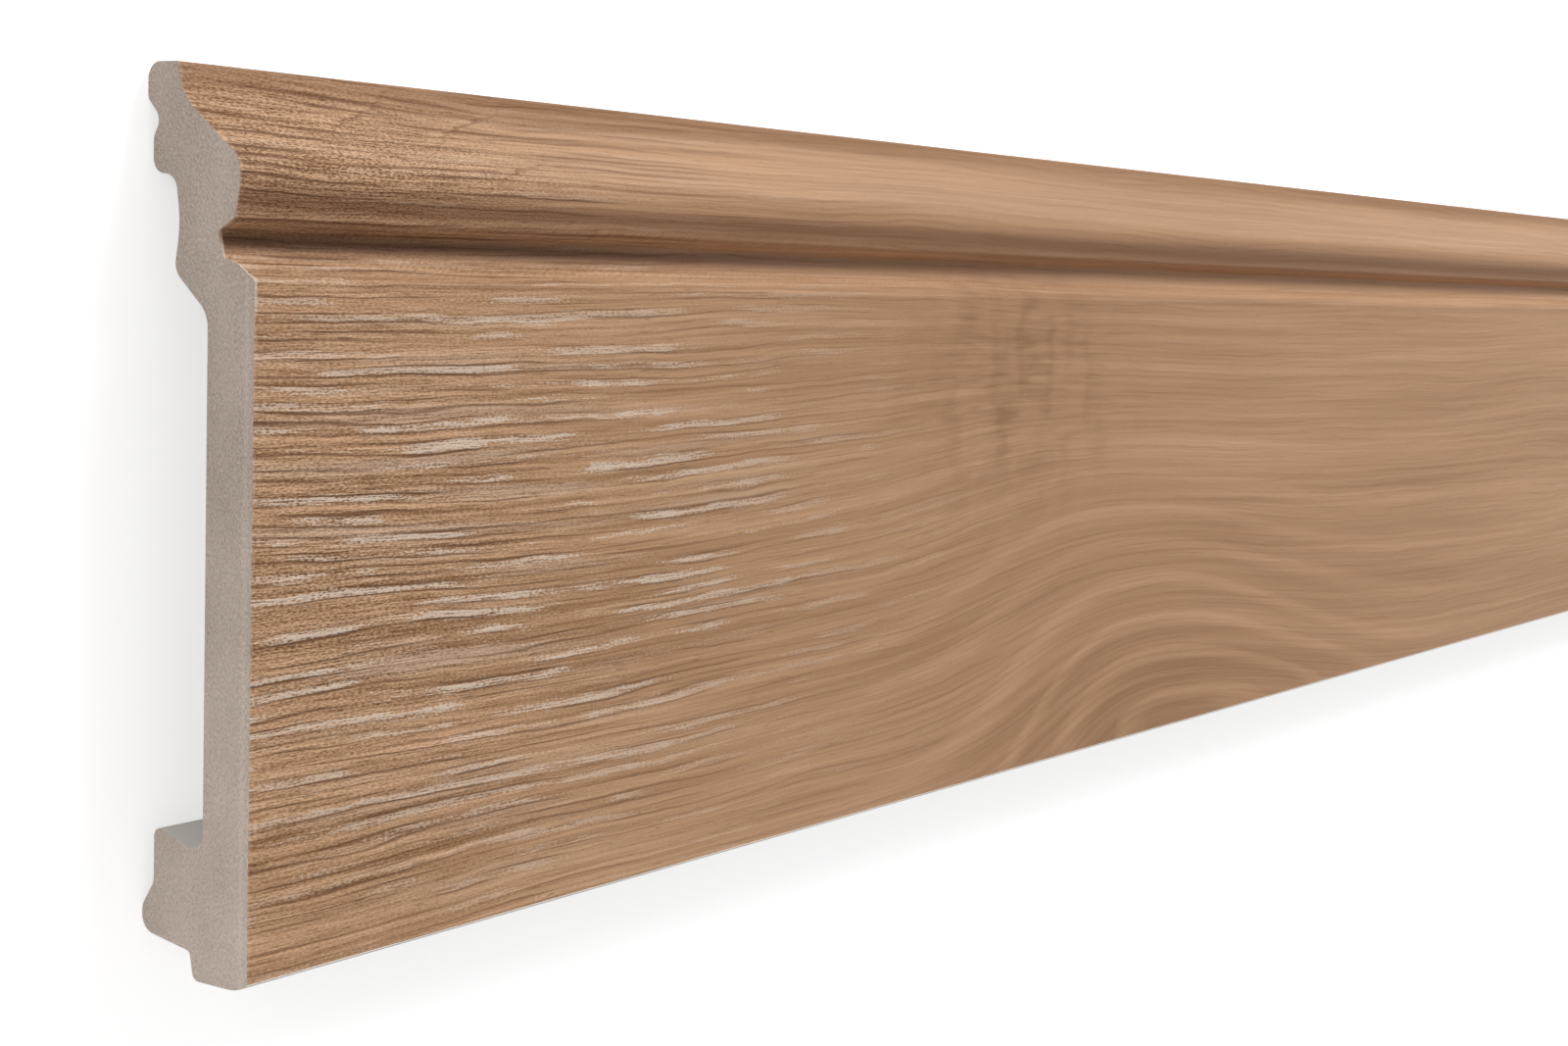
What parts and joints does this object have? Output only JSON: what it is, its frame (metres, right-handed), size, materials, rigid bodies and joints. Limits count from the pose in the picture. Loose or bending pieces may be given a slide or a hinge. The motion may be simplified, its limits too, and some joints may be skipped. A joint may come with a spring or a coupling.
{
  "type": "skirting board length",
  "caption": "Straight skirting board with a moulded head, a flat face, a hollow back and a lipped foot, in a wood-look finish.",
  "frame": {"origin": "under the middle of the board as it lies on its back, on the plane its back rests on, which is the wall plane once it is fitted", "axes": "+X along the length, +Y from the foot to the crown, +Z out of the decorative face"},
  "size_m": [2.4, 0.12, 0.02],
  "materials": {
    "skirting_board": "foamed polystyrene, greige where cut and on the back, with an embossed oak-look film on the face"
  },
  "bodies": {
    "root": {"skirting_board": "skirting_board"}
  },
  "joints": []
}
